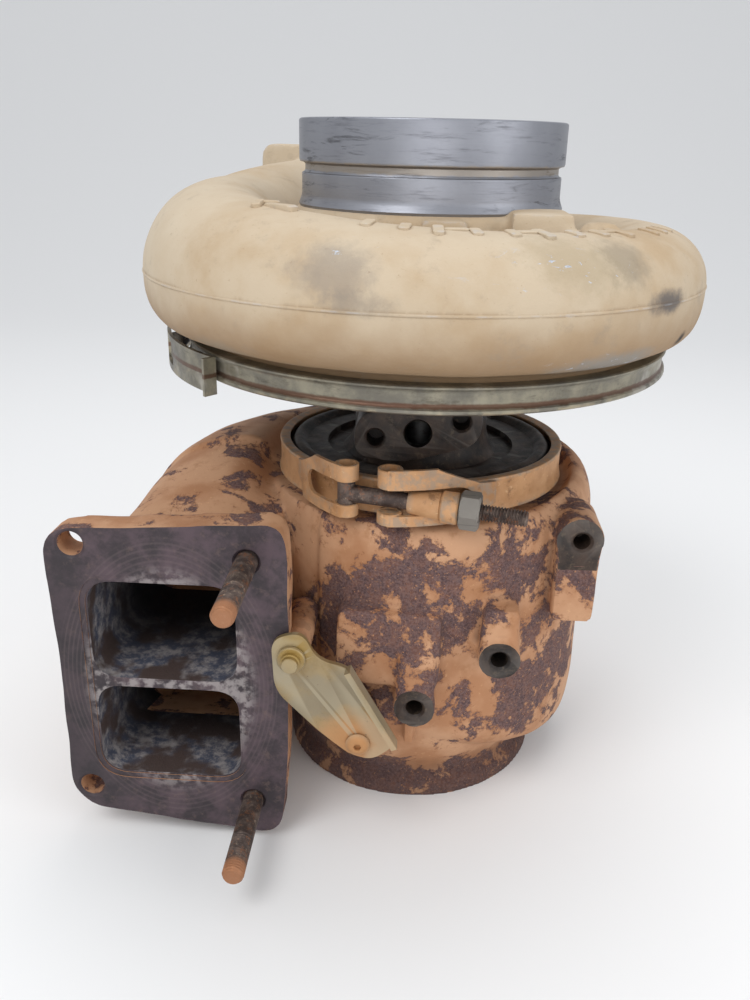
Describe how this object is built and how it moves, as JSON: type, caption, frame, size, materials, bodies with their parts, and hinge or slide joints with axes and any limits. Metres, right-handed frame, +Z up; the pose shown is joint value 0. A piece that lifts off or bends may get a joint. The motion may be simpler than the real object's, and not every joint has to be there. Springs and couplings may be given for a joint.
{
  "type": "turbocharger",
  "caption": "Vertical twin-entry turbocharger with scroll compressor cover, centre housing, cast turbine housing, band clamps and spinning rotor.",
  "frame": {"origin": "middle of the base of the bounding box, in the plane of the turbine outlet rim; the vertical shaft axis stands at x 19.3 mm, y 6.8 mm", "axes": "+Z up the shaft axis from turbine to compressor inlet; the turbine inlet flange faces -Y on the -X side"},
  "size_m": [0.3645, 0.3724, 0.41],
  "materials": {
    "cover_paint": "worn tan paint on sand-cast aluminium, bare machined inlet spigot",
    "turbine_iron": "heat-faded orange paint with dark rust patches",
    "centre_iron": "oily dark cast iron",
    "backplate_iron": "dark machined casting",
    "clamp_steel": "dull stained sheet steel",
    "painted_band": "tan paint worn to brown steel",
    "dark_steel": "dark oxidised steel",
    "rusty_steel": "threaded steel with rust",
    "bare_steel": "ground steel",
    "zinc": "yellow zinc plate, dulled",
    "wheel_aluminium": "milled aluminium",
    "wheel_alloy": "heat-browned nickel alloy",
    "bronze": "turned bearing bronze",
    "seal_rubber": "black rubber"
  },
  "bodies": {
    "housing": {"compressor_cover": "cover_paint", "compressor_backplate": "backplate_iron", "cover_seal_ring": "seal_rubber", "bearing_housing": "centre_iron", "turbine_housing": "turbine_iron", "backplate_bolt_1": "dark_steel", "backplate_bolt_2": "dark_steel", "backplate_bolt_3": "dark_steel", "backplate_bolt_4": "dark_steel", "backplate_bolt_5": "dark_steel", "backplate_bolt_6": "dark_steel", "compressor_piston_ring": "dark_steel", "turbine_piston_ring": "dark_steel", "bearing_ring_turbine_lower": "dark_steel", "bearing_ring_turbine_upper": "dark_steel", "bearing_ring_compressor_lower": "dark_steel", "bearing_ring_compressor_upper": "dark_steel", "thrust_bearing": "bronze", "oil_baffle": "bare_steel", "heat_shield": "bare_steel", "turbine_clamp_band": "painted_band", "turbine_clamp_loop_left": "painted_band", "turbine_clamp_loop_right": "painted_band", "turbine_clamp_bolt": "rusty_steel", "turbine_clamp_sleeve": "painted_band", "compressor_clamp_band": "clamp_steel", "compressor_clamp_strap_front": "clamp_steel", "compressor_clamp_strap_rear": "clamp_steel", "compressor_clamp_bolt": "dark_steel", "compressor_clamp_sleeve": "clamp_steel", "inlet_stud_upper": "rusty_steel", "inlet_stud_lower": "rusty_steel", "line_bracket": "zinc", "bracket_stud": "zinc", "bracket_screw": "zinc"},
    "rotor": {"rotor_shaft": "bare_steel", "turbine_wheel": "wheel_alloy", "compressor_wheel": "wheel_aluminium", "rotor_nut": "bare_steel", "thrust_collar": "bare_steel", "oil_flinger": "bare_steel"},
    "turbine_bearing": {"journal_bearing_turbine": "bronze"},
    "compressor_bearing": {"journal_bearing_compressor": "bronze"},
    "turbine_nut": {"turbine_clamp_nut": "dark_steel"},
    "compressor_nut": {"compressor_clamp_nut": "dark_steel"}
  },
  "joints": [
    {"name": "rotor_spin", "type": "hinge", "parent": "housing", "child": "rotor", "pos_m": [0.0193, 0.0068, 0.2], "axis": [0, 0, -1], "continuous": true},
    {"name": "turbine_bearing_float", "type": "hinge", "parent": "housing", "child": "turbine_bearing", "pos_m": [0.0193, 0.0068, 0.178], "axis": [0, 0, -1], "continuous": true},
    {"name": "compressor_bearing_float", "type": "hinge", "parent": "housing", "child": "compressor_bearing", "pos_m": [0.0193, 0.0068, 0.246], "axis": [0, 0, -1], "continuous": true},
    {"name": "turbine_nut_travel", "type": "slide", "parent": "housing", "child": "turbine_nut", "axis": [0.9842, -0.1713, -0.0443], "range_m": [0, 0.02]},
    {"name": "compressor_nut_travel", "type": "slide", "parent": "housing", "child": "compressor_nut", "axis": [-0.0751, 0.9972, 0], "range_m": [0, 0.014]}
  ],
  "couplings": [
    {"joint": "turbine_bearing_float", "follows": "rotor_spin", "ratio": 0.3},
    {"joint": "compressor_bearing_float", "follows": "rotor_spin", "ratio": 0.3}
  ]
}
